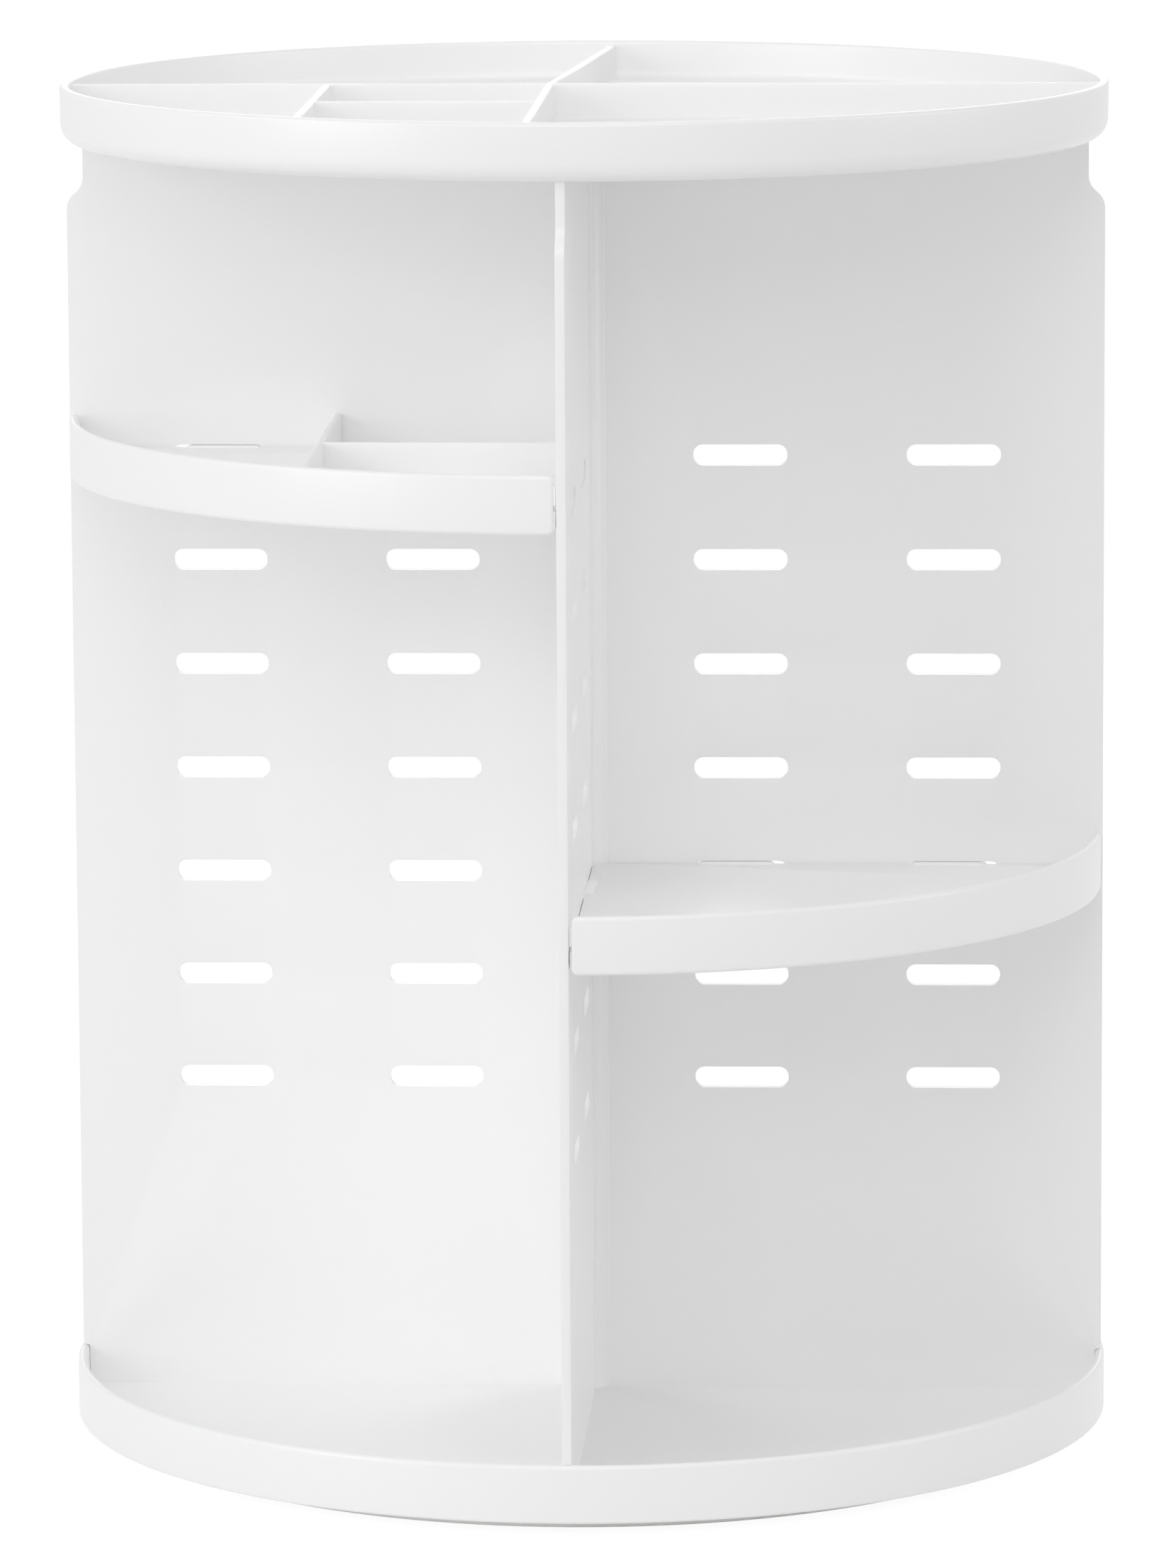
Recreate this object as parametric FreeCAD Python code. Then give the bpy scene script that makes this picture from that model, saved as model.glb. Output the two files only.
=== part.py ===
import FreeCAD, Part
import math
import os
from FreeCAD import Vector

# Rotating makeup organizer. Millimetres, table at z = 0, turning axis on Z, front towards -Y.

# Whole organizer
tray_diameter = 230.0
overall_height = 302.0

# Trays and rims
rim_height = 12.6  # every rim: both trays and the shelves
skin = 2.0  # thickness of rims, floors and wall panels
rim_round = 0.95  # rounded rim edges
rim_draft = 0.15  # top tray narrows by this much towards its lower edge
tray_heel = 4.2  # rounded lower edge of the top tray
base_heel = 0.6  # rounded lower edge of the base tray
floor_fillet = 1.5  # where a floor meets its rim
tray_skirt = 2.2  # top tray's rim below its floor
base_skirt = 1.8  # base tray's rim below its floor
skirt_width = 4.8  # top tray's lower edge, across the rim
skirt_fillet = 0.8
skirt_round = 0.5
ground_gap = 4.8  # base tray above the table
weld = 0.5  # how far a moulded-on feature reaches into the piece that carries it

# Dividers of the top tray, from the turning axis
divider = 1.8
divider_drop = 1.0  # divider tops below the rim
divider_round = 0.5
front_divider_x = -7.6
left_divider_x = -56.6
short_divider_y = -46.3
rear_divider_x = 1.5  # where the slanting rear divider meets the rim

# Wall panels
panel_inset = 0.7  # panel edge inside the tray's outline
edge_round = 0.6  # rounded outer edges
neck_gap = 2.3  # panel neck to the inside of the top tray's rim
neck_height = 13.0  # neck under the top tray
shoulder_slope = 3.0
shoulder_round = 4.3
foot_gap = 0.1  # panel foot to the inside of the base rim
foot_corner = 2.8  # clears the fillet round the base floor
step_gap = 0.1  # panel above the base rim that it steps over
step_fillet = 0.5
groove_depth = 0.8  # panel feet and post sink into the base floor
groove_short = 0.4  # floor grooves stop short of the panels' feet, where the corner lifts clear
panel_play = 0.1  # each side of a panel in its grooves

# Slots in the panels
slot_length = 20.8
slot_height = 4.7
slot_corner = 2.1
slot_start = 34.1  # middle of the inner slots, from the axis
slot_pitch = 47.1
lowest_row = 79.2  # above the table
row_pitch = 23.3
row_count = 7

# Centre post
post_half = 4.4  # half the post's width
post_cove = 2.6  # its hollowed corners
channel_floor = 2.4  # bottom of the post's panel channels, from the axis
channel_rib = 1.4  # ribs that hold panels and post under the top tray
channel_short = 2.0  # these ribs stop short of the panels' necks
channel_lift = 0.2  # these ribs above the tray's lower edge

# Shelves
shelf_inset = 1.1  # shelf rim inside the tray's outline
shelf_gap = 0.15  # shelf edge to the panels
post_gap = 0.3  # shelf corner to the post
left_shelf_row = 7  # counted from the lowest row
right_shelf_row = 3  # counted from the lowest row
tab_height = 4.45
tab_corner = 2.0
tab_play = 0.4
tab_rest = 0.1  # tab above the lower edge of its slot
tab_short = 0.3  # tab end short of the panel's far face
floor_drop = 0.35  # shelf floor below the tops of its tabs
rim_hang = 0.9  # shelf rim below its tabs
rim_end_gap = 0.5  # curved rim stops this far short of the floor's edge
rim_end_round = 1.2
nub_height = 4.2  # spacer nub on each end of the curved rim
nub_drop = 2.2
nub_inset = 0.3
shelf_divider = 1.6
shelf_divider_drop = 0.1
long_divider_x = 54.8
cross_divider_y = 54.5

# Turntable
foot_inset = 11.4  # foot plate inside the base tray's outline
foot_thickness = 1.6
foot_lip = 3.0
foot_round = 0.6
lip_fillet = 0.8
pad_radius = 6.0
pad_inset = 14.0  # middle of the pads inside the foot plate's edge
pad_stand = 1.2  # foot plate above the table
pad_pocket = 0.6
pad_count = 6
hub_radius = 18.0
hub_lift = 2.5
hub_flare = 3.0
hub_round = 1.0
boss_radius = 8.0
bore_play = 0.05
hub_play = 0.2  # lift of the base tray before the washer stops it
race_inset = 37.6  # ball circle inside the foot plate's edge
race_drop = 1.4  # race ring below the base floor
race_border = 2.0  # race ring beyond the cage
race_gap = 0.25
ball_radius = 1.75
ball_count = 20
cage_width = 9.0
cage_thickness = 1.0
rib_count = 12  # under the base floor, between the hub and the race
rib_drop = 2.6
rib_width = 1.4
rib_start = 6.0  # ribs outside the hub

# Pivot screw and washer
screw_radius = 1.5
screw_grip = 10.0  # screw in the post
pilot_spare = 2.0  # pilot hole past the screw's tip
tip_round = 0.5
head_radius = 4.2
head_height = 1.6
head_round = 1.2
washer_radius = 11.0
washer_thickness = 1.0

# Radii and levels that follow from the sizes above
tray_radius = tray_diameter / 2
rim_inside = tray_radius - skin
half_panel = skin / 2
base_rim_top = ground_gap + rim_height
base_floor_under = ground_gap + base_skirt
base_floor_top = base_floor_under + skin
tray_bottom = overall_height - rim_height
tray_floor_under = tray_bottom + tray_skirt
tray_floor_top = tray_floor_under + skin
panel_foot = base_floor_top - groove_depth
panel_outer = tray_radius - panel_inset
panel_neck = rim_inside - neck_gap
panel_heel = rim_inside - foot_gap
channel_half = half_panel + panel_play
slot_places = (slot_start, slot_start + slot_pitch)
post_reach = math.hypot(post_half, post_half - post_cove)
shelf_radius = tray_radius - shelf_inset
shelf_edge = half_panel + shelf_gap
plate_radius = shelf_radius - half_panel
foot_radius = tray_radius - foot_inset
foot_top = pad_stand + foot_thickness
race_radius = foot_radius - race_inset
race_face = base_floor_under - race_drop
ball_level = (foot_top + race_face) / 2
hub_under = pad_stand + hub_lift
boss_end = hub_under - hub_play
washer_under = boss_end - washer_thickness
screw_end = panel_foot + screw_grip


def row_level(row):
    """Height of the middle of a slot row, the lowest row being 1."""
    return lowest_row + (row - 1) * row_pitch


def tab_level(row):
    """Height of the underside of a shelf's tabs in a slot row."""
    return row_level(row) - slot_height / 2 + tab_rest


def rounded_face(corners, place):
    """Face through (u, v, radius) corners; place turns u and v into a point."""
    bends = []
    for i, (u, v, radius) in enumerate(corners):
        corner = Vector(u, v, 0)
        before = corners[i - 1]
        after = corners[(i + 1) % len(corners)]
        back = Vector(before[0], before[1], 0) - corner
        ahead = Vector(after[0], after[1], 0) - corner
        back.normalize()
        ahead.normalize()
        half = back.getAngle(ahead) / 2
        middle = back + ahead
        middle.normalize()
        reach = radius / math.tan(half)
        inset = radius / math.sin(half) - radius
        bends.append((corner + back * reach, corner + middle * inset, corner + ahead * reach, radius))
    edges = []
    for i, (start, middle, end, radius) in enumerate(bends):
        if radius > 0:
            arc = Part.Arc(place(start.x, start.y), place(middle.x, middle.y), place(end.x, end.y))
            edges.append(arc.toShape())
        following = bends[(i + 1) % len(bends)][0]
        if end.distanceToPoint(following) > 1e-6:
            edges.append(Part.makeLine(place(end.x, end.y), place(following.x, following.y)))
    return Part.Face(Part.Wire(edges))


def turned(corners, angle=360.0):
    """Solid turned about Z from (radius, height, rounding) corners."""
    face = rounded_face(corners, lambda u, v: Vector(u, 0, v))
    return face.revolve(Vector(0, 0, 0), Vector(0, 0, 1), angle)


def spun(shape, angle):
    """Copy of a shape turned about the organizer's axis."""
    copy = shape.copy()
    copy.rotate(Vector(0, 0, 0), Vector(0, 0, 1), angle)
    return copy


def ring_of(shape, count, first=0.0):
    """Copies of a shape spread evenly round the axis, the first turned by a share of one step."""
    return [spun(shape, (i + first) * 360 / count) for i in range(count)]


def disc(radius, low, high):
    """Upright cylinder on the axis."""
    return Part.makeCylinder(radius, high - low, Vector(0, 0, low))


def ring(inside, outside, low, high):
    """Upright ring on the axis."""
    return disc(outside, low, high).cut(disc(inside, low, high))


def block(x0, x1, y0, y1, z0, z1):
    """Box between two opposite corners."""
    return Part.makeBox(x1 - x0, y1 - y0, z1 - z0, Vector(x0, y0, z0))


def fin(start, end, thickness, low, high):
    """Thin upright wall between two plan points, with a rounded top edge."""
    along = Vector(end[0] - start[0], end[1] - start[1], 0)
    side = Vector(-along.y, along.x, 0)
    side.normalize()
    foot = Vector(start[0], start[1], 0)
    half = thickness / 2
    corners = [(-half, low, 0), (half, low, 0), (half, high, divider_round), (-half, high, divider_round)]
    face = rounded_face(corners, lambda u, v: foot + side * u + Vector(0, 0, v))
    return face.extrude(along)


def round_bar(middle, level, length, height, corner, near, far):
    """Round-cornered bar along Y from near to far, for slots and tabs."""
    left = middle - length / 2
    right = middle + length / 2
    low = level - height / 2
    high = level + height / 2
    corners = [(left, low, corner), (right, low, corner), (right, high, corner), (left, high, corner)]
    return rounded_face(corners, lambda u, v: Vector(u, near, v)).extrude(Vector(0, far - near, 0))


def wall_panel(angle):
    """One slotted panel, standing along +X and then turned to its place."""
    step = base_rim_top + step_gap
    high_neck = tray_floor_under - neck_height
    corners = [
        (channel_floor + panel_play, panel_foot, 0),
        (panel_heel, panel_foot, foot_corner),
        (panel_heel, step, step_fillet),
        (panel_outer, step, 0),
        (panel_outer, high_neck - shoulder_slope, shoulder_round),
        (panel_neck, high_neck, shoulder_round),
        (panel_neck, tray_floor_under, 0),
        (channel_floor + panel_play, tray_floor_under, 0),
    ]
    sheet = rounded_face(corners, lambda u, v: Vector(u, -half_panel, v)).extrude(Vector(0, skin, 0))
    outer_edges = [edge for edge in sheet.Edges if is_outer(edge, step)]
    sheet = sheet.makeFillet(edge_round, outer_edges)
    slots = []
    for row in range(1, row_count + 1):
        for place in slot_places:
            slots.append(round_bar(place, row_level(row), slot_length, slot_height, slot_corner, -skin, skin))
    return spun(sheet.cut(slots), angle)


def is_outer(edge, step):
    """Whether an edge of the panel runs along its outer side, above the base rim."""
    box = edge.BoundBox
    return box.XMin > panel_neck - weld and box.ZMin > step - weld and box.ZLength > weld


def post_bar(play, low, high):
    """Square bar with hollowed corners: the post's outline, grown by a clearance."""
    half = post_half + play
    bar = block(-half, half, -half, half, low, high)
    cove = disc(post_cove - play, low, high).translated(Vector(post_half, post_half, 0))
    return bar.cut(ring_of(cove, 4))


def centre_post():
    """Post with four channels for the panels' inner edges."""
    post = post_bar(0, panel_foot, tray_floor_under - panel_play)
    channel = block(channel_floor, post_half * 2, -channel_half, channel_half, 0, overall_height)
    pilot = disc(screw_radius + bore_play, panel_foot, screw_end + pilot_spare)
    return post.cut(ring_of(channel, 4) + [pilot])


def race_groove():
    """Ring that the balls' path takes out of the race faces."""
    return Part.makeTorus(race_radius, ball_radius + race_gap, Vector(0, 0, ball_level))


def base_tray():
    """Low round tray with panel grooves above and the bearing race below."""
    tray = turned([
        (0, base_floor_under, 0),
        (rim_inside, base_floor_under, skirt_fillet),
        (rim_inside, ground_gap, base_heel),
        (tray_radius, ground_gap, base_heel),
        (tray_radius, base_rim_top, rim_round),
        (rim_inside, base_rim_top, rim_round),
        (rim_inside, base_floor_top, floor_fillet),
        (0, base_floor_top, 0),
    ])
    seat = base_floor_under + weld
    race_half = cage_width / 2 + race_border
    race_inside = race_radius - race_half
    rib = block(hub_radius + rib_start, race_inside + weld, -rib_width / 2, rib_width / 2,
                base_floor_under - rib_drop, seat)
    added = ring_of(rib, rib_count, 0.5)
    added.append(disc(boss_radius, boss_end, seat))
    added.append(ring(race_inside, race_radius + race_half, race_face, seat))
    tray = tray.fuse(added).removeSplitter()
    groove = block(0, panel_heel - groove_short, -channel_half, channel_half, panel_foot, overall_height)
    removed = ring_of(groove, 4)
    removed.append(post_bar(panel_play, panel_foot, overall_height))
    removed.append(disc(screw_radius + bore_play, 0, overall_height))
    removed.append(race_groove())
    return tray.cut(removed)


def top_tray():
    """Round tray with moulded compartments and panel channels underneath."""
    lower_outside = tray_radius - rim_draft
    lower_inside = lower_outside - skirt_width
    tray = turned([
        (0, tray_floor_under, 0),
        (lower_inside, tray_floor_under, skirt_fillet),
        (lower_inside, tray_bottom, skirt_round),
        (lower_outside, tray_bottom, tray_heel),
        (tray_radius, overall_height, rim_round),
        (rim_inside, overall_height, rim_round),
        (rim_inside - rim_draft / 2, tray_floor_top, floor_fillet),
        (0, tray_floor_top, 0),
    ])
    lines = [
        ((-tray_radius, 0), (tray_radius, 0)),
        ((front_divider_x, 0), (front_divider_x, -tray_radius)),
        ((left_divider_x, 0), (left_divider_x, -tray_radius)),
        ((left_divider_x, short_divider_y), (front_divider_x, short_divider_y)),
        ((front_divider_x, 0), (rear_divider_x, tray_radius)),
    ]
    within = disc(rim_inside + weld, tray_floor_under, overall_height)
    added = []
    for start, end in lines:
        wall = fin(start, end, divider, tray_floor_top - weld, overall_height - divider_drop)
        added.append(wall.common(within))
    rib_half = channel_half + channel_rib
    rib_low = tray_bottom + channel_lift
    seat = tray_floor_under + weld
    added.extend(ring_of(block(0, panel_neck - channel_short, -rib_half, rib_half, rib_low, seat), 4))
    added.append(disc(post_reach + channel_rib, rib_low, seat))
    tray = tray.fuse(added).removeSplitter()
    channel_end = panel_neck + panel_play
    removed = ring_of(block(0, channel_end, -channel_half, channel_half, 0, tray_floor_under), 4)
    removed.append(post_bar(panel_play, 0, tray_floor_under))
    return tray.cut(removed)


def swapped(shape):
    """Copy mirrored across the shelf's bisector, so both straight edges match."""
    return shape.mirror(Vector(0, 0, 0), Vector(1, -1, 0))


def shelf_tab(place, low):
    """Tab on the edge beside the X axis; narrow enough to leave its slot on the slant."""
    end = -half_panel + tab_short
    pull = half_panel - end + tab_short
    length = slot_length - 2 * tab_play - pull
    level = low + tab_height / 2
    return round_bar(place - pull / 2, level, length, tab_height, tab_corner, end, shelf_edge + skin)


def curved_rim(low, high):
    """Curved front of a shelf with round corners at both ends and spacer nubs."""
    inside = shelf_radius - skin
    band = turned([
        (inside, low, rim_round),
        (shelf_radius, low, rim_round),
        (shelf_radius, high, rim_round),
        (inside, high, rim_round),
    ], 90.0)
    start = shelf_edge + rim_end_gap
    level = (low + high) / 2
    middle = start + shelf_radius
    window = round_bar(middle, level, shelf_radius * 2, rim_height, rim_end_round, 0, shelf_radius)
    band = band.common(window).common(swapped(window))
    nub_top = high - nub_drop
    nub = block(shelf_edge, start + rim_end_round, inside + nub_inset, shelf_radius - nub_inset,
                nub_top - nub_height, nub_top)
    return band.fuse([nub, swapped(nub)])


def quarter_shelf(row, divided, angle):
    """Quarter-disc shelf in the +X +Y quarter, then turned to its place."""
    tab_low = tab_level(row)
    floor_top = tab_low + tab_height - floor_drop
    floor_under = floor_top - skin
    rim_low = tab_low - rim_hang
    rim_top = rim_low + rim_height
    plate = disc(plate_radius, floor_under, floor_top)
    plate = plate.common(block(shelf_edge, tray_radius, shelf_edge, tray_radius, 0, overall_height))
    reach = math.sqrt(plate_radius ** 2 - shelf_edge ** 2)
    rib = block(shelf_edge, reach, shelf_edge, shelf_edge + skin, tab_low, floor_top)
    pieces = [rib, swapped(rib), curved_rim(rim_low, rim_top)]
    for place in slot_places:
        tab = shelf_tab(place, tab_low)
        pieces.extend([tab, swapped(tab)])
    if divided:
        fin_low = floor_top - weld
        fin_top = rim_top - shelf_divider_drop
        within = disc(plate_radius, 0, overall_height)
        near = (long_divider_x, shelf_edge)
        far = (long_divider_x, tray_radius)
        long_fin = fin(near, far, shelf_divider, fin_low, fin_top)
        edge = (shelf_edge, cross_divider_y)
        corner = (long_divider_x, cross_divider_y)
        cross_fin = fin(edge, corner, shelf_divider, fin_low, fin_top)
        pieces.extend([long_fin.common(within), cross_fin])
    shelf = plate.fuse(pieces).removeSplitter()
    shelf = shelf.cut(disc(post_reach + post_gap, 0, overall_height))
    return spun(shelf, angle)


def foot_plate():
    """Disc that stands still on its pads and carries the lower bearing race."""
    bore = boss_radius + bore_play
    lip_top = foot_top + foot_lip
    plate = turned([
        (bore, hub_under, 0),
        (hub_radius - hub_flare, hub_under, hub_round),
        (hub_radius, pad_stand, hub_round),
        (foot_radius, pad_stand, foot_round),
        (foot_radius, lip_top, foot_round),
        (foot_radius - skin, lip_top, foot_round),
        (foot_radius - skin, foot_top, lip_fillet),
        (hub_radius + hub_flare, foot_top, hub_round),
        (hub_radius, hub_under + foot_thickness, hub_round),
        (bore, hub_under + foot_thickness, 0),
    ])
    return plate.cut(foot_plugs() + [race_groove()])


def foot_plugs():
    """Round plugs at the foot pads' places."""
    place = foot_radius - pad_inset
    plug = disc(pad_radius, 0, pad_stand + pad_pocket).translated(Vector(place, 0, 0))
    return ring_of(plug, pad_count, 0.5)


def foot_pads():
    """Rubber pads pushed into the foot plate's pockets."""
    return Part.makeCompound(foot_plugs())


def bearing_balls():
    """Balls spaced round the race."""
    ball = Part.makeSphere(ball_radius, Vector(race_radius, 0, ball_level))
    return Part.makeCompound(ring_of(ball, ball_count))


def ball_cage():
    """Flat ring that keeps the balls apart."""
    low = ball_level - cage_thickness / 2
    high = ball_level + cage_thickness / 2
    flat = ring(race_radius - cage_width / 2, race_radius + cage_width / 2, low, high)
    hole = disc(ball_radius + race_gap, low, high).translated(Vector(race_radius, 0, 0))
    return flat.cut(ring_of(hole, ball_count))


def pivot_washer():
    """Wide washer that keeps the base tray on the foot plate."""
    return ring(screw_radius + bore_play, washer_radius, washer_under, boss_end)


def pivot_screw():
    """Pan-head screw through washer, base tray and post."""
    head_low = washer_under - head_height
    return turned([
        (0, head_low, 0),
        (head_radius, head_low, head_round),
        (head_radius, washer_under, 0),
        (screw_radius, washer_under, 0),
        (screw_radius, screw_end, tip_round),
        (0, screw_end, 0),
    ])


os.makedirs("parts", exist_ok=True)
nodes = {
    "right_wall": wall_panel(0),
    "rear_wall": wall_panel(90),
    "left_wall": wall_panel(180),
    "front_wall": wall_panel(270),
    "centre_post": centre_post(),
    "base_tray": base_tray(),
    "top_tray": top_tray(),
    "left_shelf": quarter_shelf(left_shelf_row, True, 180),
    "right_shelf": quarter_shelf(right_shelf_row, False, 270),
    "foot_plate": foot_plate(),
    "foot_pads": foot_pads(),
    "bearing_balls": bearing_balls(),
    "ball_cage": ball_cage(),
    "pivot_washer": pivot_washer(),
    "pivot_screw": pivot_screw(),
}
for name, shape in nodes.items():
    shape.exportStep("parts/" + name + ".step")
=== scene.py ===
import math
import bpy
import bmesh
from mathutils import Matrix, Vector


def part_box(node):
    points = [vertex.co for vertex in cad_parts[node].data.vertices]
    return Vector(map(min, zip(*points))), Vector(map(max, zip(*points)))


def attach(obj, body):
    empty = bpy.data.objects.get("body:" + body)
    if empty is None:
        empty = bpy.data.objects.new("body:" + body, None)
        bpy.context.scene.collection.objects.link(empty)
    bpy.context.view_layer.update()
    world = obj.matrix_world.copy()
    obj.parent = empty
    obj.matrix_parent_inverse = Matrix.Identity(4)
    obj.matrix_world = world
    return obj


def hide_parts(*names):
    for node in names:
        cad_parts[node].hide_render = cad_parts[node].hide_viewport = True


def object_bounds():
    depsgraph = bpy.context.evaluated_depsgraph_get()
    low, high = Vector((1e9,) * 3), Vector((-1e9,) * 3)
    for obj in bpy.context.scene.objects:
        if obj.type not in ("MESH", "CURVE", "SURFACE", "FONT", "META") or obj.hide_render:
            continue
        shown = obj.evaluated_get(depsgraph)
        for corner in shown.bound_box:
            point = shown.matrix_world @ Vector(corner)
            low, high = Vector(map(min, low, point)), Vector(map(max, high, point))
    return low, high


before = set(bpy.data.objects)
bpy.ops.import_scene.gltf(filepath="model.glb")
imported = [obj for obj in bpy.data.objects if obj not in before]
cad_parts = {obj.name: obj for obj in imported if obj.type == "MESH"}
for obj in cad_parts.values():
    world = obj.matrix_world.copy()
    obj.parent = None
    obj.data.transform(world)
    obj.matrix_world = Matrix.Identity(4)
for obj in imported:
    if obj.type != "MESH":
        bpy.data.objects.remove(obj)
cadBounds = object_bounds()
mm = 0.001
overlap = 0.5 * mm  # how far joined forms run into each other
mergeWidth = 0.001 * mm  # points closer than this are one
sharpAngle = math.radians(35)  # an edge that turns further is rounded, and shaded as an edge
quarterTurn = math.pi / 2
print("frame loaded:", len(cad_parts), "nodes")


# shared helpers

def hexColour(code):  # sRGB hex to linear RGBA
    parts = [int(code[i:i + 2], 16) / 255 for i in (1, 3, 5)]
    linear = [c / 12.92 if c <= 0.04045 else ((c + 0.055) / 1.055) ** 2.4 for c in parts]
    return (*linear, 1.0)


def addNode(tree, kind, inputs=None, **settings):  # one node with its settings and links
    node = tree.nodes.new(kind)
    for name, value in settings.items():
        setattr(node, name, value)
    for socket, source in (inputs or {}).items():
        if isinstance(source, bpy.types.NodeSocket):
            tree.links.new(source, node.inputs[socket])
        else:
            node.inputs[socket].default_value = source
    return node


def maths(tree, operation, *values):  # result of a math node
    return addNode(tree, "ShaderNodeMath", dict(enumerate(values)), operation=operation).outputs[0]


def joined(tree, *parts):  # several geometries as one
    join = addNode(tree, "GeometryNodeJoinGeometry")
    for part in parts:
        tree.links.new(part, join.inputs["Geometry"])
    return join.outputs[0]


def newMaterial(name):  # empty material, its tree and its output
    material = bpy.data.materials.new(name)
    material.use_nodes = True
    material.node_tree.nodes.clear()
    tree = material.node_tree
    return material, tree, addNode(tree, "ShaderNodeOutputMaterial")


def newTree(name, inputs):  # geometry tree with named inputs; gives the tree and what it is given
    tree = bpy.data.node_groups.new(name, "GeometryNodeTree")
    for label, kind in {"Geometry": "Geometry", **inputs, "Material": "Material"}.items():
        tree.interface.new_socket(label, in_out="INPUT", socket_type="NodeSocket" + kind)
    tree.interface.new_socket("Geometry", in_out="OUTPUT", socket_type="NodeSocketGeometry")
    return tree, addNode(tree, "NodeGroupInput").outputs


def endTree(tree, given, geometry):  # real copies with their material, as the tree's result
    real = addNode(tree, "GeometryNodeRealizeInstances", {"Geometry": geometry})
    painted = addNode(tree, "GeometryNodeSetMaterial", {"Geometry": real.outputs[0], "Material": given["Material"]})
    addNode(tree, "NodeGroupOutput", {"Geometry": painted.outputs[0]})
    return tree


def roundedOutline(corners, steps=6):  # points round (u, v, radius) corners
    points = []
    for i, (u, v, radius) in enumerate(corners):
        corner = Vector((u, v))
        back = (Vector(corners[i - 1][:2]) - corner).normalized()
        ahead = (Vector(corners[(i + 1) % len(corners)][:2]) - corner).normalized()
        if radius == 0:
            points.append(corner)
            continue
        half = back.angle(ahead) / 2
        middle = corner + (back + ahead).normalized() * radius / math.sin(half)
        first = corner + back * radius / math.tan(half) - middle
        last = corner + ahead * radius / math.tan(half) - middle
        turn = first.angle_signed(last)
        for step in range(steps + 1):
            points.append(middle + Matrix.Rotation(-turn * step / steps, 2) @ first)
    return points


def arc(radius, first, last, steps):  # plan points on a circle round the axis
    angles = [first + (last - first) * k / steps for k in range(steps + 1)]
    return [Vector((math.cos(a), math.sin(a))) * radius for a in angles]


def fourTimes(points):  # plan points repeated at each quarter turn
    return [Matrix.Rotation(quarterTurn * k, 2) @ point for k in range(4) for point in points]


def meshObject(name, bm, material):  # object from a bmesh, with outward faces
    bmesh.ops.remove_doubles(bm, verts=bm.verts, dist=mergeWidth)
    bmesh.ops.recalc_face_normals(bm, faces=bm.faces)
    mesh = bpy.data.meshes.new(name)
    bm.to_mesh(mesh)
    bm.free()
    obj = bpy.data.objects.new(name, mesh)
    bpy.context.scene.collection.objects.link(obj)
    mesh.materials.append(material)
    return obj


def settled(obj):  # the evaluated shape as the object's own plain mesh
    graph = bpy.context.evaluated_depsgraph_get()
    mesh = bpy.data.meshes.new_from_object(obj.evaluated_get(graph))
    obj.modifiers.clear()
    obj.data = mesh
    return obj


def absorbed(bm, obj):  # takes an object's faces into a bmesh
    bm.from_mesh(obj.data)
    bpy.data.objects.remove(obj)


def runTree(obj, tree, values):  # sets a tree's named inputs and settles its result
    modifier = obj.modifiers.new(tree.name, "NODES")
    modifier.node_group = tree
    for item in tree.interface.items_tree:
        if item.in_out == "INPUT" and item.name in values:
            modifier[item.identifier] = values[item.name]
    return settled(obj)


def softened(obj, width, segments=2, share=None):  # rounds sharp edges; share gives each edge's part of the width
    bm = bmesh.new()
    bm.from_mesh(obj.data)
    weights = [0.0] * len(bm.edges)
    for i, edge in enumerate(bm.edges):
        if edge.calc_face_angle(0) > sharpAngle:
            weights[i] = share(edge) if share else 1.0
    bm.free()
    obj.data.attributes.new("bevel_weight_edge", "FLOAT", "EDGE").data.foreach_set("value", weights)
    bevel = obj.modifiers.new("edges", "BEVEL")
    bevel.width = width
    bevel.segments = segments
    bevel.limit_method = "WEIGHT"
    obj = settled(obj)
    bm = bmesh.new()
    bm.from_mesh(obj.data)
    manySided = [face for face in bm.faces if len(face.verts) > 4]
    bmesh.ops.triangulate(bm, faces=manySided, ngon_method="BEAUTY")
    bmesh.ops.dissolve_degenerate(bm, dist=mergeWidth, edges=bm.edges)
    bm.to_mesh(obj.data)
    bm.free()
    obj.data.polygons.foreach_set("use_smooth", [True] * len(obj.data.polygons))
    obj.data.set_sharp_from_angle(angle=sharpAngle)
    return obj


def placed(obj, body, slot, *replaced):  # rides its body and stands for its CAD nodes
    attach(obj, body)
    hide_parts(*replaced)


def ringStrip(bm, rings, closed):  # faces between rings of equal length
    count = len(rings)
    for i in range(count if closed else count - 1):
        here, there = rings[i], rings[(i + 1) % count]
        for k in range(len(here)):
            nextK = (k + 1) % len(here)
            bm.faces.new((here[k], here[nextK], there[nextK], there[k]))


def turnedShell(bm, outline, segments=192, centre=(0, 0)):  # closed outline turned about an upright line
    rings = []
    for i in range(segments):
        angle = 2 * math.pi * i / segments
        c, s = math.cos(angle), math.sin(angle)
        rings.append([bm.verts.new((centre[0] + p.x * c, centre[1] + p.x * s, p.y)) for p in outline])
    ringStrip(bm, rings, True)


def capped(bm, rings):  # strip of rings closed at both ends
    ringStrip(bm, rings, False)
    bm.faces.new(rings[0][::-1])
    bm.faces.new(rings[-1])


def upright(bm, outline, low, high):  # plan outline raised from low to high
    capped(bm, [[bm.verts.new((p.x, p.y, level)) for p in outline] for level in (low, high)])


def fin(bm, start, end, thickness, low, high, rounding):  # thin wall with a rounded top
    start, end = Vector(start), Vector(end)
    side = (end - start).normalized().orthogonal()
    half, roundSteps = thickness / 2, 4
    corners = [(-half, low, 0), (half, low, 0), (half, high, rounding), (-half, high, rounding)]
    profile = roundedOutline(corners, roundSteps)
    capped(bm, [[bm.verts.new((*(point + side * p.x), p.y)) for p in profile] for point in (start, end)])


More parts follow.
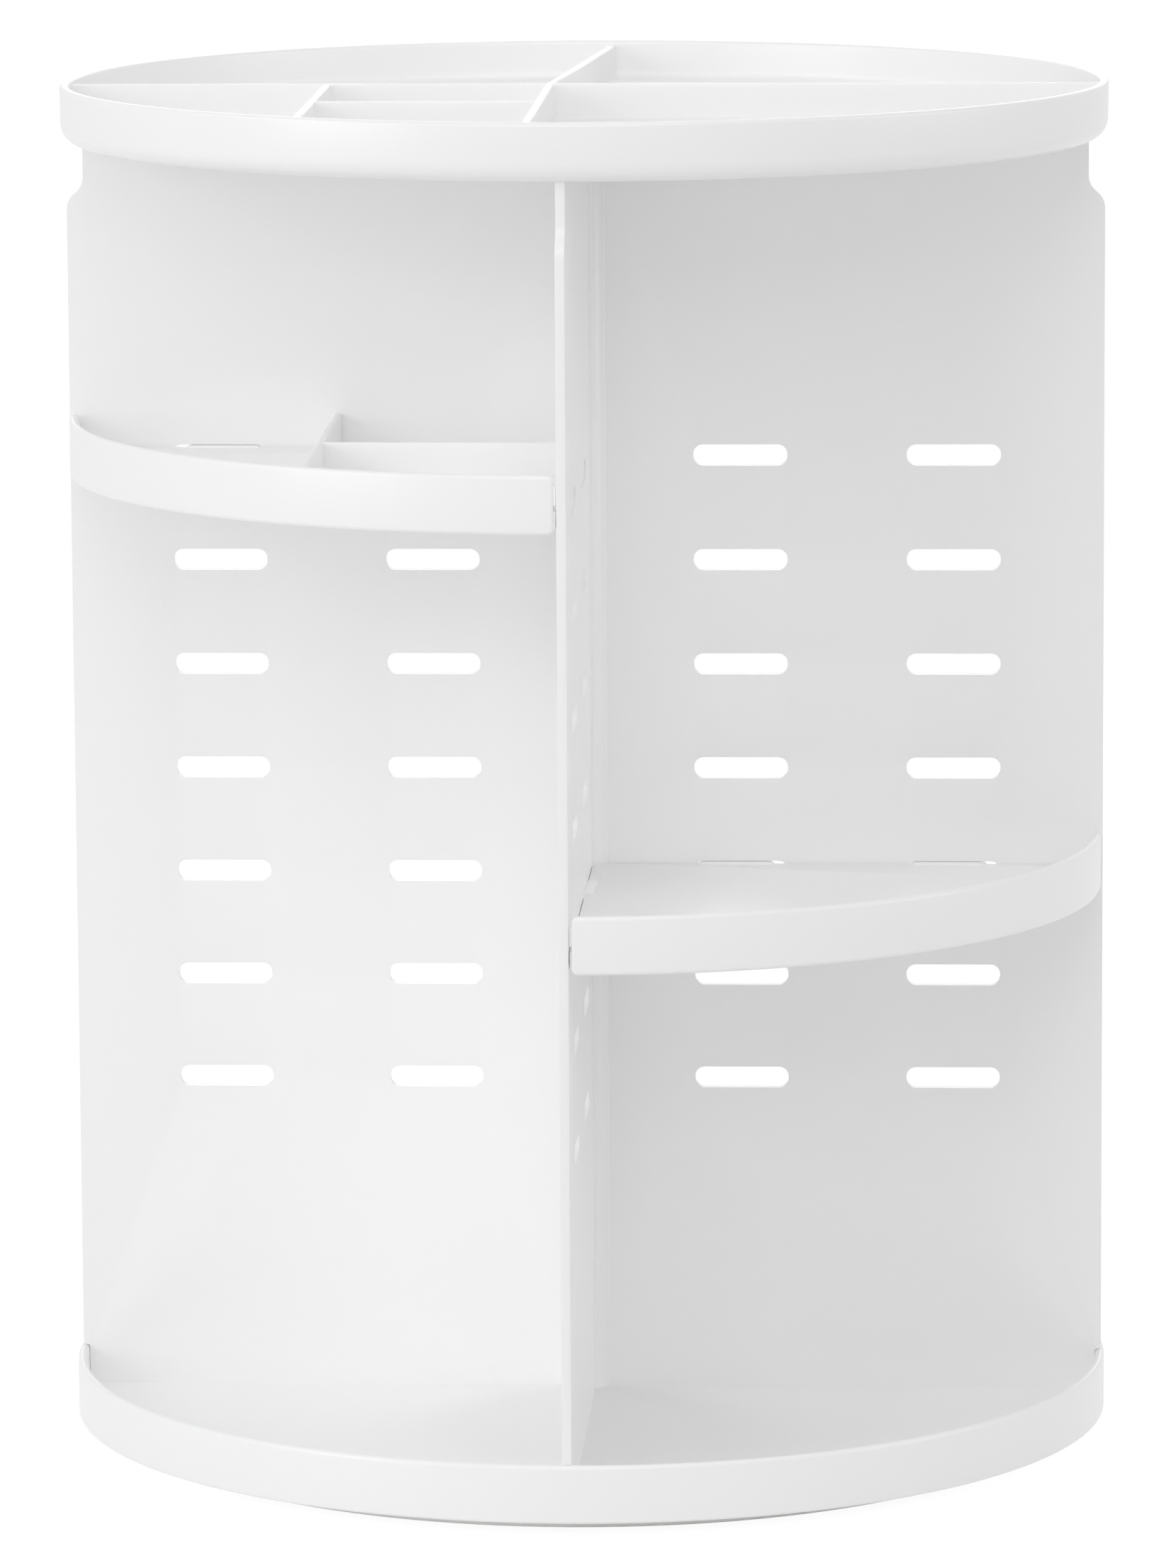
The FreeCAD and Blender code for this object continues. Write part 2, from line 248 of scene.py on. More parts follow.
def ringTree():  # copies of a shape spread evenly round the turning axis
    tree, given = newTree("ringOf", {"Count": "Int", "First Turn": "Float"})
    step = maths(tree, "DIVIDE", 2 * math.pi, given["Count"])
    index = addNode(tree, "GeometryNodeInputIndex")
    turn = maths(tree, "MULTIPLY", maths(tree, "ADD", index.outputs[0], given["First Turn"]), step)
    around = addNode(tree, "ShaderNodeCombineXYZ", {"Z": turn})
    spots = addNode(tree, "GeometryNodePoints", {"Count": given["Count"]})
    copies = addNode(tree, "GeometryNodeInstanceOnPoints", {
        "Points": spots.outputs[0], "Instance": given["Geometry"], "Rotation": around.outputs[0]})
    return endTree(tree, given, copies.outputs[0])


ringOf = ringTree()


# materials

def mottled(name, finish):  # two tones by noise, roughness by the same noise, a bump from it or from a finer one
    material, tree, output = newMaterial(name)
    place = addNode(tree, "ShaderNodeTexCoord").outputs["Object"]

    def noise(form):
        inputs = {"Vector": place, "Scale": 1 / form["size"], "Detail": form["detail"]}
        return addNode(tree, "ShaderNodeTexNoise", inputs).outputs[0]

    mottle = noise(finish)
    first, last = (hexColour(tone) for tone in finish["tones"])
    tint = addNode(tree, "ShaderNodeMix", {0: mottle, 6: first, 7: last}, data_type="RGBA")
    inputs = {"Base Color": tint.outputs[2], **finish["shader"]}
    if "roughness" in finish:
        least, most = finish["roughness"]
        gloss = addNode(tree, "ShaderNodeMapRange", {"Value": mottle, "To Min": least, "To Max": most})
        inputs["Roughness"] = gloss.outputs[0]
    if "bump" in finish:
        bump = finish["bump"]
        height = noise(bump) if "size" in bump else mottle
        relief = addNode(tree, "ShaderNodeBump", {
            "Height": height, "Strength": bump["strength"], "Distance": bump["depth"]})
        inputs["Normal"] = relief.outputs[0]
    shader = addNode(tree, "ShaderNodeBsdfPrincipled", inputs)
    tree.links.new(shader.outputs[0], output.inputs["Surface"])
    return material


def glossAbs():  # ABS from a polished mould: soft reflections, a faint orange peel, slightly cloudy white
    return mottled("glossMouldedAbs", {
        "tones": ("#fcfcfc", "#fafafa"), "size": 60 * mm, "detail": 2.0, "roughness": (0.26, 0.34),
        "bump": {"size": 2.5 * mm, "detail": 1.0, "strength": 0.3, "depth": 0.004 * mm}, "shader": {"IOR": 1.53}})


def satinPolypropylene():  # polypropylene from a spark-eroded mould: fine even grain, waxy sheen
    return mottled("satinMouldedPolypropylene", {
        "tones": ("#f2f2f0", "#f6f6f4"), "size": 0.8 * mm, "detail": 3.0,  # drawn coarser than real so that it shows
        "bump": {"strength": 0.4, "depth": 0.03 * mm}, "shader": {"Roughness": 0.5, "IOR": 1.49}})


def mouldedRubber():  # grey thermoplastic rubber: matt, with dusty speckles
    return mottled("mouldedRubber", {
        "tones": ("#57585a", "#6c6d6e"), "size": 0.6 * mm, "detail": 4.0,
        "bump": {"strength": 0.4, "depth": 0.05 * mm}, "shader": {"Roughness": 0.85, "IOR": 1.5}})


def zincSteel():  # bright zinc plating: cool grey metal with cloudy passivation
    return mottled("zincPlatedSteel", {
        "tones": ("#aeb1b6", "#c3c6ca"), "size": 3 * mm, "detail": 4.0, "roughness": (0.28, 0.45),
        "shader": {"Metallic": 1.0}})


def ballSteel():  # lapped bearing steel: mirror-like with hair-fine wear
    return mottled("polishedBearingSteel", {
        "tones": ("#babcc0", "#cfd1d4"), "size": 0.4 * mm, "detail": 6.0, "roughness": (0.08, 0.18),
        "shader": {"Metallic": 1.0}})


def naturalNylon():  # undyed nylon: creamy, slightly uneven, satin
    return mottled("naturalNylon", {
        "tones": ("#dbd6c6", "#e6e2d4"), "size": 6 * mm, "detail": 3.0, "roughness": (0.4, 0.55),
        "shader": {"IOR": 1.53}})


whiteAbs = glossAbs()
print("materials ready")


# centre post

postForm = {
    "half": 4.4 * mm, "cove": 2.6 * mm, "coveSteps": 10, "channelHalf": 1.0 * mm, "channelFloor": 2.4 * mm,
    "edgeRound": 0.15 * mm, "lipMargin": 0.1 * mm,
}


def postQuarter(form, channelHalf, play):  # plan between two channels: a hollowed corner between two lips
    edge, lip, cove = form["half"] + play, form["half"] - form["cove"] + play, form["cove"] - play
    middle = Vector((form["half"], form["half"]))
    hollow = [middle + point for point in arc(cove, -quarterTurn, -math.pi, form["coveSteps"])]
    firstLip = [Vector((edge, channelHalf)), Vector((edge, lip))]
    lastLip = [Vector((lip, edge)), Vector((channelHalf, edge))]
    return firstLip + hollow + lastLip


def centrePost(form):  # post whose four channels take the panels' inner edges
    half, floor = form["channelHalf"], form["channelFloor"]
    corner = postQuarter(form, half, 0) + [Vector((half, floor)), Vector((-half, floor))]
    low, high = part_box("centre_post")
    bm = bmesh.new()
    upright(bm, fourTimes(corner), low[2], high[2])
    besidePanel = half + form["lipMargin"]

    def share(edge):  # edges beside a panel stay sharp
        return 0.0 if any(min(abs(v.co.x), abs(v.co.y)) < besidePanel for v in edge.verts) else 1.0

    return softened(meshObject("centrePost", bm, whiteAbs), form["edgeRound"], share=share)


placed(centrePost(postForm), "carousel", "white_plastic", "centre_post")
print("centre post built")


# top tray

trayForm = {
    "rimHeight": 12.6 * mm, "rim": 2.0 * mm, "rimRound": 0.95 * mm, "draft": 0.15 * mm, "heel": 4.2 * mm,
    "skirt": 2.2 * mm, "skirtWidth": 4.8 * mm, "skirtFillet": 0.8 * mm, "skirtRound": 0.5 * mm, "floor": 2.0 * mm,
    "fillet": 1.5 * mm, "divider": 1.8 * mm, "dividerDrop": 1.0 * mm, "dividerRound": 0.5 * mm, "joinStep": 0.05 * mm,
    "frontDividerX": -7.6 * mm, "leftDividerX": -56.6 * mm, "shortDividerY": -46.3 * mm, "rearDividerX": 1.5 * mm,
    "channelHalf": 1.1 * mm, "channelRib": 1.4 * mm, "channelEnd": 108.7 * mm, "channelLift": 0.2 * mm,
    "postPlay": 0.1 * mm, "postPad": 6.15 * mm, "padSteps": 8, "edgeRound": 0.1 * mm,
}


def underChannels(form, low, high):  # rounded corner ribs that hold the panels and the post under the tray
    inner, outer = form["channelHalf"], form["channelHalf"] + form["channelRib"]
    end, farTurn = form["channelEnd"], math.asin(outer / form["postPad"])
    outline = [Vector((end, inner))] + postQuarter(postForm, inner, form["postPlay"])
    outline += [Vector((inner, end)), Vector((outer, end))]
    outline += arc(form["postPad"], quarterTurn - farTurn, farTurn, form["padSteps"]) + [Vector((end, outer))]
    bm = bmesh.new()
    upright(bm, outline, low, high)
    return runTree(meshObject("underChannels", bm, whiteAbs), ringOf, {"Count": 4, "Material": whiteAbs})


def topTray(form):  # turned shell with five dividers on its floor
    radius, top = form["radius"], form["top"]
    low = top - form["rimHeight"]
    floorUnder = low + form["skirt"]
    floorTop = floorUnder + form["floor"]
    inside = radius - form["rim"]
    heelOut = radius - form["draft"]
    heelIn = heelOut - form["skirtWidth"]
    outline = roundedOutline([
        (0, floorUnder, 0), (heelIn, floorUnder, form["skirtFillet"]), (heelIn, low, form["skirtRound"]),
        (heelOut, low, form["heel"]), (radius, top, form["rimRound"]), (inside, top, form["rimRound"]),
        (inside - form["draft"] / 2, floorTop, form["fillet"]), (0, floorTop, 0)])
    bm = bmesh.new()
    turnedShell(bm, outline)
    reach = inside + form["rim"] / 2
    frontX, leftX, shortY = form["frontDividerX"], form["leftDividerX"], form["shortDividerY"]
    lines = [  # start, end and steps down from the highest, so that no two tops share a plane
        ((-reach, 0), (reach, 0), 0),
        ((frontX, 0), (frontX, -math.sqrt(reach ** 2 - frontX ** 2)), 1),
        ((leftX, 0), (leftX, -math.sqrt(reach ** 2 - leftX ** 2)), 1),
        ((leftX, shortY), (frontX, shortY), 2),
        ((frontX, 0), (form["rearDividerX"], reach), 1),
    ]
    for start, end, steps in lines:
        high = top - form["dividerDrop"] - steps * form["joinStep"]
        fin(bm, start, end, form["divider"], floorTop - overlap, high, form["dividerRound"])
    absorbed(bm, underChannels(form, low + form["channelLift"], floorUnder + overlap))
    return softened(meshObject("topTray", bm, whiteAbs), form["edgeRound"])


trayForm["radius"], trayForm["top"] = cadBounds[1][0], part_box("top_tray")[1][2]
placed(topTray(trayForm), "top_tray", "white_plastic", "top_tray")
print("top tray built")


# slotted wall panels

panelForm = {
    "innerEdge": 2.5 * mm, "outerEdge": 114.3 * mm, "neck": 110.7 * mm, "heel": 112.9 * mm, "heelCorner": 2.8 * mm,
    "step": 17.5 * mm, "stepFillet": 0.5 * mm, "shoulder": 275.6 * mm, "neckStart": 278.6 * mm,
    "shoulderRound": 4.3 * mm, "thickness": 2.0 * mm, "edgeRound": 0.6 * mm, "edgeSteps": 4,
    "slotEdgeShare": 0.4, "heelEdgeShare": 0.1, "outerBand": 1.0 * mm, "stepMargin": 0.1 * mm,
}
slotForm = {
    "Slot Length": 20.8 * mm, "Slot Height": 4.7 * mm, "Slot Corner": 2.1 * mm, "Corner Steps": 6,
    "First Column": 34.1 * mm, "Column Pitch": 47.1 * mm, "Columns": 2,
    "Lowest Row": 79.2 * mm, "Row Pitch": 23.3 * mm, "Rows": 7, "Thickness": panelForm["thickness"],
}


def slottedPanelTree(form):  # closed outline in, sheet with a grid of round-cornered slots out
    kinds = {name: "Int" if isinstance(value, int) else "Float" for name, value in form.items()}
    tree, given = newTree("slottedPanel", kinds)
    width = maths(tree, "MULTIPLY", given["Column Pitch"], maths(tree, "SUBTRACT", given["Columns"], 1.0))
    height = maths(tree, "MULTIPLY", given["Row Pitch"], maths(tree, "SUBTRACT", given["Rows"], 1.0))
    grid = addNode(tree, "GeometryNodeMeshGrid", {
        "Size X": width, "Size Y": height, "Vertices X": given["Columns"], "Vertices Y": given["Rows"]})
    across = maths(tree, "MULTIPLY_ADD", width, 0.5, given["First Column"])
    along = maths(tree, "MULTIPLY_ADD", height, 0.5, given["Lowest Row"])
    middle = addNode(tree, "ShaderNodeCombineXYZ", {"X": across, "Y": along})
    spots = addNode(tree, "GeometryNodeTransform", {
        "Geometry": grid.outputs["Mesh"], "Translation": middle.outputs[0]})
    slot = addNode(tree, "GeometryNodeCurvePrimitiveQuadrilateral", {
        "Width": given["Slot Length"], "Height": given["Slot Height"]})
    slot = addNode(tree, "GeometryNodeFilletCurve", {
        "Curve": slot.outputs[0], "Radius": given["Slot Corner"], "Count": given["Corner Steps"]}, mode="POLY")
    slots = addNode(tree, "GeometryNodeInstanceOnPoints", {"Points": spots.outputs[0], "Instance": slot.outputs[0]})
    slots = addNode(tree, "GeometryNodeRealizeInstances", {"Geometry": slots.outputs[0]})
    border = addNode(tree, "GeometryNodeMeshToCurve", {"Mesh": given["Geometry"]})
    loops = joined(tree, slots.outputs[0], border.outputs[0])
    sheet = addNode(tree, "GeometryNodeFillCurve", {"Curve": loops}, mode="NGONS").outputs[0]
    raised = addNode(tree, "GeometryNodeExtrudeMesh", {
        "Mesh": sheet, "Offset Scale": given["Thickness"], "Individual": False})
    back = addNode(tree, "GeometryNodeFlipFaces", {"Mesh": sheet})
    solid = addNode(tree, "GeometryNodeMergeByDistance", {
        "Geometry": joined(tree, raised.outputs[0], back.outputs[0]), "Distance": mergeWidth})
    return endTree(tree, given, solid.outputs[0])


def slottedPanel(name, tree, form, angle):  # panel in the XZ plane, turned to its quarter
    low, high = form["foot"], form["head"]
    outline = roundedOutline([
        (form["innerEdge"], low, 0), (form["heel"], low, form["heelCorner"]),
        (form["heel"], form["step"], form["stepFillet"]), (form["outerEdge"], form["step"], 0),
        (form["outerEdge"], form["shoulder"], form["shoulderRound"]),
        (form["neck"], form["neckStart"], form["shoulderRound"]), (form["neck"], high, 0),
        (form["innerEdge"], high, 0)])
    bm = bmesh.new()
    loop = [bm.verts.new((p.x, p.y, 0)) for p in outline]
    for i, vert in enumerate(loop):
        bm.edges.new((loop[i - 1], vert))
    panel = runTree(meshObject(name, bm, whiteAbs), tree, {**slotForm, "Material": whiteAbs})

    def share(edge):  # full rounding on the outer side, less round the slots, least where the heel meets the rim
        near, below = min(v.co.x for v in edge.verts), min(v.co.y for v in edge.verts)
        if near < form["neck"] - form["outerBand"]:
            return form["slotEdgeShare"]
        return 1.0 if below > form["step"] - form["stepMargin"] else form["heelEdgeShare"]

    panel = softened(panel, form["edgeRound"], form["edgeSteps"], share)
    stood = Matrix.Translation((0, form["thickness"] / 2, 0)) @ Matrix.Rotation(quarterTurn, 4, "X")
    panel.data.transform(Matrix.Rotation(math.radians(angle), 4, "Z") @ stood)
    return panel


panelForm["foot"], panelForm["head"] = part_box("front_wall")[0][2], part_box("front_wall")[1][2]
panelTree = slottedPanelTree(slotForm)
for wall, angle in {"right_wall": 0, "rear_wall": 90, "left_wall": 180, "front_wall": 270}.items():
    placed(slottedPanel(wall + ".panel", panelTree, panelForm, angle), "carousel", "white_plastic", wall)
print("wall panels built")


# shelves

shelfForm = {
    "radius": 113.9 * mm, "rim": 2.0 * mm, "rimHeight": 12.6 * mm, "rimRound": 0.95 * mm, "rimHang": 0.9 * mm,
    "edge": 1.15 * mm, "postClear": 5.05 * mm, "floor": 2.0 * mm, "floorDrop": 0.35 * mm,
    "tabHeight": 4.45 * mm, "tabCorner": 2.0 * mm, "tabTip": -0.7 * mm, "tabLength": 18.0 * mm, "tabShift": -1.0 * mm,
    "endGap": 0.5 * mm, "endRound": 1.2 * mm, "endSideRound": 0.3 * mm,
    "endShares": (0, 0.03, 0.1, 0.25, 0.45, 0.7, 1),  # where the rounded end has its rings
    "nubHeight": 4.2 * mm, "nubDrop": 2.2 * mm, "nubInset": 0.3 * mm, "divider": 1.6 * mm, "dividerDrop": 0.1 * mm,
    "dividerRound": 0.5 * mm, "longDividerX": 54.8 * mm, "crossDividerY": 54.5 * mm,
    "joinStep": 0.05 * mm, "edgeRound": 0.2 * mm, "curveSteps": 48, "postSteps": 8,
}


def endInset(run, radius):  # how far a rounded end stands back at this distance from its tip
    short = max(radius - run, 0)
    return radius - math.sqrt(radius ** 2 - short ** 2)


def curvedRim(bm, form, low, high):  # swept band whose ends round off in height and in plan
    inside, outside = form["radius"] - form["rim"], form["radius"]
    middle = (inside + outside) / 2
    first = math.asin((form["edge"] + form["endGap"]) / middle)
    last = quarterTurn - first
    near = [form["endRound"] * share / middle for share in form["endShares"]]
    spans = form["curveSteps"]
    between = [first + near[-1] + (last - first - 2 * near[-1]) * k / spans for k in range(1, spans)]
    rings = []
    for angle in [first + a for a in near] + between + [last - a for a in reversed(near)]:
        run = min(angle - first, last - angle) * middle
        under, over = low + endInset(run, form["endRound"]), high - endInset(run, form["endRound"])
        thin = endInset(run, form["endSideRound"])
        corner = form["rimRound"] - thin
        inner, outer = inside + thin, outside - thin
        profile = roundedOutline([
            (inner, under, corner), (outer, under, corner), (outer, over, corner), (inner, over, corner)])
        rings.append([bm.verts.new((p.x * math.cos(angle), p.x * math.sin(angle), p.y)) for p in profile])
    capped(bm, rings)


def shelfTab(bm, form, column, low):  # round-cornered tab beside the X axis
    middle, half = column + form["tabShift"], form["tabLength"] / 2
    left, right = middle - half, middle + half
    high, corner = low + form["tabHeight"], form["tabCorner"]
    profile = roundedOutline([(left, low, corner), (right, low, corner), (right, high, corner), (left, high, corner)])
    depths = (form["tabTip"], form["edge"] + form["rim"])
    capped(bm, [[bm.verts.new((p.x, depth, p.y)) for p in profile] for depth in depths])


def straightEdge(bm, form, tabLow, rimTop):  # rib, tabs and nub of the edge beside the X axis
    edge, thick = form["edge"], form["rim"]
    start = math.sqrt(form["postClear"] ** 2 - edge ** 2)
    end = math.sqrt((form["radius"] - thick / 2) ** 2 - edge ** 2)
    step = form["joinStep"]  # the rib stands back a little, so that no two faces share a plane
    face, back = edge + step, edge + thick - step
    rib = [Vector((start, face)), Vector((end, face)), Vector((end, back)), Vector((start, back))]
    upright(bm, rib, tabLow + step, tabLow + form["tabHeight"] - form["floorDrop"] - form["floor"] / 2)
    for k in range(slotForm["Columns"]):
        shelfTab(bm, form, slotForm["First Column"] + k * slotForm["Column Pitch"], tabLow)
    nubIn, nubOut = form["radius"] - thick + form["nubInset"], form["radius"] - form["nubInset"]
    nubEnd, nubTop = edge + form["endGap"] + form["endRound"], rimTop - form["nubDrop"]
    nub = [Vector((nubIn, edge)), Vector((nubOut, edge)), Vector((nubOut, nubEnd)), Vector((nubIn, nubEnd))]
    upright(bm, nub, nubTop - form["nubHeight"], nubTop)


def shelfDividers(bm, form, low, high, reach):  # long divider and the lower cross divider that ends at it
    longX, crossY, thick = form["longDividerX"], form["crossDividerY"], form["divider"]
    start, rounding = form["edge"] + form["joinStep"], form["dividerRound"]
    fin(bm, (longX, start), (longX, math.sqrt(reach ** 2 - longX ** 2)), thick, low, high, rounding)
    fin(bm, (start, crossY), (longX, crossY), thick, low, high - form["joinStep"], rounding)


def quarterShelf(name, form, node, divided, angle):  # built between the X and Y axes, turned to its quarter
    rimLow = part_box(node)[0][2]
    rimTop = rimLow + form["rimHeight"]
    tabLow = rimLow + form["rimHang"]
    floorTop = tabLow + form["tabHeight"] - form["floorDrop"]
    edge, plateRadius, postClear = form["edge"], form["radius"] - form["rim"] / 2, form["postClear"]
    bm = bmesh.new()
    straightEdge(bm, form, tabLow, rimTop)
    mirrored = bm.copy()
    for vert in mirrored.verts:
        vert.co.x, vert.co.y = vert.co.y, vert.co.x
    absorbed(bm, meshObject("otherEdge", mirrored, whiteAbs))
    outerTurn, innerTurn = math.asin(edge / plateRadius), math.asin(edge / postClear)
    outline = arc(plateRadius, outerTurn, quarterTurn - outerTurn, form["curveSteps"])
    outline += arc(postClear, quarterTurn - innerTurn, innerTurn, form["postSteps"])
    upright(bm, outline, floorTop - form["floor"], floorTop)
    curvedRim(bm, form, rimLow, rimTop)
    if divided:
        shelfDividers(bm, form, floorTop - overlap, rimTop - form["dividerDrop"], plateRadius)
    shelf = softened(meshObject(name, bm, whiteAbs), form["edgeRound"])
    shelf.data.transform(Matrix.Rotation(math.radians(angle), 4, "Z"))
    return shelf


placed(quarterShelf("leftShelf", shelfForm, "left_shelf", True, 180), "left_shelf", "white_plastic", "left_shelf")
placed(quarterShelf("rightShelf", shelfForm, "right_shelf", False, 270), "right_shelf", "white_plastic", "right_shelf")
print("shelves built")


# base tray

baseForm = {
    "rim": 2.0 * mm, "groundGap": 4.8 * mm, "rimHeight": 12.6 * mm, "rimRound": 0.95 * mm, "heel": 0.6 * mm,
    "skirt": 1.8 * mm, "skirtFillet": 0.8 * mm, "floor": 2.0 * mm, "fillet": 1.5 * mm, "screwHole": 1.55 * mm,
    "boss": 8.0 * mm, "bossEnd": 3.5 * mm, "bossRound": 0.3 * mm, "bossFillet": 0.8 * mm,
    "raceInside": 59.5 * mm, "raceOutside": 72.5 * mm, "raceFace": 5.2 * mm, "raceRound": 0.3 * mm,
    "raceFillet": 0.5 * mm, "ballCircle": 66.0 * mm, "ballLevel": 4.0 * mm, "groove": 2.0 * mm, "grooveSteps": 8,
    "ribs": 12, "firstTurn": 0.5, "rib": 1.4 * mm, "ribStart": 24.0 * mm, "ribLow": 4.0 * mm, "edgeRound": 0.1 * mm,
}


def underRibs(form, floorUnder):  # stiffening ribs between the hub and the race
    half = form["rib"] / 2
    rib = [Vector((form["ribStart"], -half)), Vector((form["raceInside"] + overlap, -half))]
    rib += [Vector((point.x, half)) for point in reversed(rib)]
    bm = bmesh.new()
    upright(bm, rib, form["ribLow"], floorUnder + overlap)
    values = {"Count": form["ribs"], "First Turn": form["firstTurn"], "Material": whiteAbs}
    return runTree(meshObject("underRibs", bm, whiteAbs), ringOf, values)


def baseTray(form):  # turned shell with a boss and a grooved race underneath
    radius, low = form["radius"], form["groundGap"]
    inside, top = radius - form["rim"], low + form["rimHeight"]
    floorUnder = low + form["skirt"]
    floorTop = floorUnder + form["floor"]
    face, circle, ballLevel = form["raceFace"], form["ballCircle"], form["ballLevel"]
    raceRound, raceFillet = form["raceRound"], form["raceFillet"]
    turn = math.asin((face - ballLevel) / form["groove"])
    mouth = form["groove"] * math.cos(turn)
    groove = arc(form["groove"], math.pi - turn, turn, form["grooveSteps"])[1:-1]
    outline = roundedOutline([
        (form["screwHole"], form["bossEnd"], 0), (form["boss"], form["bossEnd"], form["bossRound"]),
        (form["boss"], floorUnder, form["bossFillet"]), (form["raceInside"], floorUnder, raceFillet),
        (form["raceInside"], face, raceRound), (circle - mouth, face, 0)])
    outline += [point + Vector((circle, ballLevel)) for point in groove]
    outline += roundedOutline([
        (circle + mouth, face, 0), (form["raceOutside"], face, raceRound),
        (form["raceOutside"], floorUnder, raceFillet), (inside, floorUnder, form["skirtFillet"]),
        (inside, low, form["heel"]), (radius, low, form["heel"]),
        (radius, top, form["rimRound"]), (inside, top, form["rimRound"]), (inside, floorTop, form["fillet"]),
        (form["screwHole"], floorTop, 0)])
    bm = bmesh.new()
    turnedShell(bm, outline)
    absorbed(bm, underRibs(form, floorUnder))
    return softened(meshObject("baseTray", bm, whiteAbs), form["edgeRound"])


baseForm["radius"] = cadBounds[1][0]
placed(baseTray(baseForm), "carousel", "white_plastic", "base_tray")
print("base tray built")


# turntable

padForm = {
    "radius": 6.0 * mm, "place": 89.6 * mm, "count": 6, "firstTurn": 0.5,
    "edgeRound": 0.5 * mm, "fineRound": 0.05 * mm,
    "grooves": (1.4 * mm, 2.8 * mm, 4.2 * mm), "grooveWidth": 0.7 * mm, "grooveDepth": 0.4 * mm,
    "grooveRound": 0.1 * mm, "roundSteps": 3, "turnSteps": 48,
}


def footPads(form, material):  # round rubber pads with grip rings underneath
    low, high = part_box("foot_pads")[0][2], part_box("foot_pads")[1][2]
    wide, deep, rounding = form["grooveWidth"] / 2, low + form["grooveDepth"], form["grooveRound"]
    corners = [(0, low, 0)]
    for radius in form["grooves"]:
        corners += [(radius - wide, low, rounding), (radius - wide / 2, deep, rounding),
                    (radius + wide / 2, deep, rounding), (radius + wide, low, rounding)]
    corners += [(form["radius"], low, form["edgeRound"]), (form["radius"], high, 0), (0, high, 0)]
    bm = bmesh.new()
    turnedShell(bm, roundedOutline(corners, form["roundSteps"]), form["turnSteps"], (form["place"], 0))
    values = {"Count": form["count"], "First Turn": form["firstTurn"], "Material": material}
    return softened(runTree(meshObject("footPads", bm, material), ringOf, values), form["fineRound"])


ballForm = {"radius": 1.75 * mm, "place": 66.0 * mm, "count": 20, "subdivisions": 4, "fineRound": 0.01 * mm}


def bearingBalls(form, material):  # polished balls round the race
    level = (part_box("bearing_balls")[0][2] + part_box("bearing_balls")[1][2]) / 2
    place = Matrix.Translation((form["place"], 0, level))
    bm = bmesh.new()
    bmesh.ops.create_icosphere(bm, subdivisions=form["subdivisions"], radius=form["radius"], matrix=place)
    values = {"Count": form["count"], "Material": material}
    return softened(runTree(meshObject("bearingBalls", bm, material), ringOf, values), form["fineRound"])


screwForm = {
    "head": 4.2 * mm, "headHeight": 1.6 * mm, "headRound": 1.2 * mm, "headEdge": 0.15 * mm, "shank": 1.5 * mm,
    "pitch": 1.0 * mm, "pitchShare": 1.02, "threadDepth": 0.25 * mm, "threadStart": 2.0 * mm, "point": 1.0 * mm,
    "tip": 0.4 * mm, "tipRound": 0.2 * mm, "turnSteps": 64, "fineRound": 0.06 * mm,
    "crossArm": 2.2 * mm, "crossWidth": 0.9 * mm, "crossDepth": 1.1 * mm, "crossStart": 0.2 * mm,
    "crossMouth": 1.05, "crossEnd": 0.55, "crossReach": 1.2,  # shares of the arm
}


def crossCutter(form, low):  # tapering cross that leaves the driver recess
    bm = bmesh.new()
    ends = ((low - form["crossStart"], form["crossMouth"]), (low + form["crossDepth"], form["crossEnd"]))
    rings = []
    for level, share in ends:
        arm, half = form["crossArm"] * share, form["crossWidth"] / 2 * share
        quarter = [Vector((arm, -half)), Vector((arm, half)), Vector((half, half))]
        rings.append([bm.verts.new((*point, level)) for point in fourTimes(quarter)])
    capped(bm, rings)
    return bm


def pivotScrew(form, material):  # pan head with a cross recess and a coarse plastic thread
    low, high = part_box("pivot_screw")[0][2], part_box("pivot_screw")[1][2]
    under, pointStart = low + form["headHeight"], high - form["point"]
    shank, core, pitch = form["shank"], form["shank"] - form["threadDepth"], form["pitch"]
    corners = [(0, low, 0), (form["head"], low, form["headRound"])]
    corners += [(form["head"], under, form["headEdge"]), (shank, under, 0)]
    level = under + form["threadStart"]
    while level + pitch < pointStart:
        corners += [(core, level, 0), (shank, level + pitch / 2, 0), (core, level + pitch, 0)]
        level += pitch * form["pitchShare"]
    corners += [(core, pointStart, 0), (form["tip"], high, form["tipRound"]), (0, high, 0)]
    bm = bmesh.new()
    turnedShell(bm, roundedOutline(corners), form["turnSteps"])
    screw = meshObject("pivotScrew", bm, material)
    cutter = meshObject("crossCutter", crossCutter(form, low), material)
    cut = screw.modifiers.new("recess", "BOOLEAN")
    cut.object = cutter
    screw = settled(screw)
    bpy.data.objects.remove(cutter)
    recess = form["crossArm"] * form["crossReach"]

    def share(edge):  # the recess keeps its sharp edges
        return 0.0 if all(v.co.z < under and v.co.xy.length < recess for v in edge.verts) else 1.0

    return softened(screw, form["fineRound"], share=share)


placed(footPads(padForm, mouldedRubber()), "foot", "pad_rubber", "foot_pads")
placed(bearingBalls(ballForm, ballSteel()), "bearing", "steel", "bearing_balls")
zinc = zincSteel()
placed(pivotScrew(screwForm, zinc), "carousel", "steel", "pivot_screw")
cadFinishes = {"foot_plate": satinPolypropylene(), "ball_cage": naturalNylon(), "pivot_washer": zinc}
for node, material in cadFinishes.items():  # CAD nodes that keep their shape
    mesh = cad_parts[node].data
    mesh.materials.clear()
    mesh.materials.append(material)
print("turntable built")


# stage, light and camera

pureWhite = (1, 1, 1, 1)
stageForm = {"size": 2.2, "floor": "#f4f4f4", "white": 1.15, "shadowShare": 0.2}


